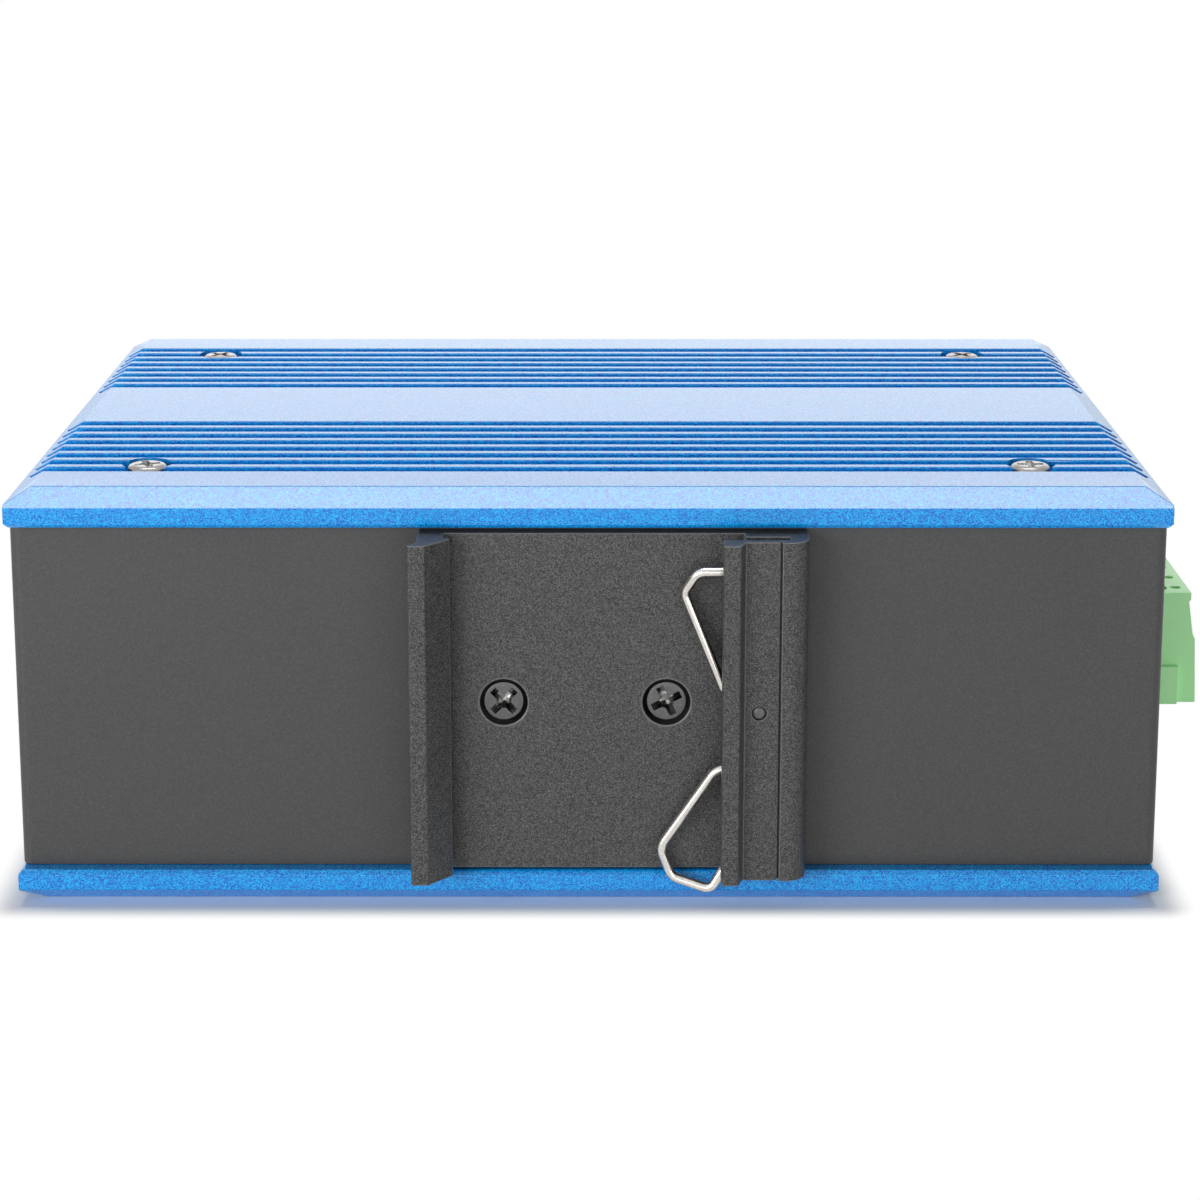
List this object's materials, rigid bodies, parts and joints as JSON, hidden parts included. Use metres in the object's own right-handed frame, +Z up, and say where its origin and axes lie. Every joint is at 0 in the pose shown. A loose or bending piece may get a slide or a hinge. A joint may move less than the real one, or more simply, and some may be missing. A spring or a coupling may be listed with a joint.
{
  "type": "din rail ethernet switch",
  "caption": "Box-shaped industrial network switch between two grooved heat sink plates, with a rail clip, wire spring, pull-out power terminal, stacked jacks and module cages.",
  "frame": {"origin": "centre of the underside, where the lower heat sink plate rests as the switch lies on its side", "axes": "+X along the housing towards the end with the power terminal (its top on a rail), +Y from the rear face with the rail clip to the front face with the jacks, +Z up through both plates"},
  "size_m": [0.1549, 0.112, 0.0542],
  "materials": {
    "blue_anodised_plate": "bead blasted, blue anodised",
    "black_powder_coat": "fine matt powder coat",
    "black_anodised_clip": "fine matt anodised",
    "stainless_wire": "bright drawn wire",
    "blackened_screw": "blackened steel",
    "nickel_steel": "nickel plated steel",
    "brass": "turned brass",
    "green_terminal": "satin moulded plastic",
    "circuit_board": "solder mask",
    "black_plastic": "moulded plastic",
    "gold_contact": "gold plated",
    "tin_plate": "tin plated",
    "lamp_lens": "diffuse lens",
    "grey_pad": "soft gap pad",
    "bare_aluminium": "milled",
    "ferrite": "sintered",
    "amber_tape": "tape over windings"
  },
  "bodies": {
    "housing": {"upper_heat_sink_plate": "blue_anodised_plate", "lower_heat_sink_plate": "blue_anodised_plate", "upper_plate_screws": "nickel_steel", "lower_plate_screws": "nickel_steel", "lower_board_pillars": "brass", "upper_board_pillars": "brass", "wrap_cover": "black_powder_coat", "front_panel": "black_powder_coat", "front_panel_screws": "nickel_steel", "din_clip": "black_anodised_clip", "din_clip_spring": "stainless_wire", "din_clip_spring_pin": "stainless_wire", "din_clip_screws": "blackened_screw", "rear_press_nuts": "nickel_steel", "main_board": "circuit_board", "jack_modules": "black_plastic", "jack_shield": "nickel_steel", "jack_contacts": "gold_contact", "sfp_cages": "nickel_steel", "sfp_connectors": "black_plastic", "led_holder": "black_plastic", "status_leds": "lamp_lens", "power_header": "green_terminal", "power_header_pins": "tin_plate", "ground_screw": "nickel_steel", "ground_washer": "nickel_steel", "ground_press_nut": "nickel_steel", "switch_chip": "black_plastic", "thermal_pad": "grey_pad", "heat_transfer_block": "bare_aluminium", "port_transformers": "black_plastic", "input_capacitors": "bare_aluminium", "power_inductors": "ferrite", "power_transformer_core": "ferrite", "power_transformer_winding": "amber_tape", "alarm_relay": "black_plastic", "power_control_chip": "black_plastic"},
    "terminal_plug": {"power_plug_housing": "green_terminal", "power_plug_clamp_screws": "tin_plate", "power_plug_clamp_cages": "tin_plate", "power_plug_contacts": "tin_plate"}
  },
  "joints": [
    {"name": "terminal_plug_pull", "type": "slide", "parent": "housing", "child": "terminal_plug", "axis": [1, 0, 0], "range_m": [0, 0.0095]}
  ]
}
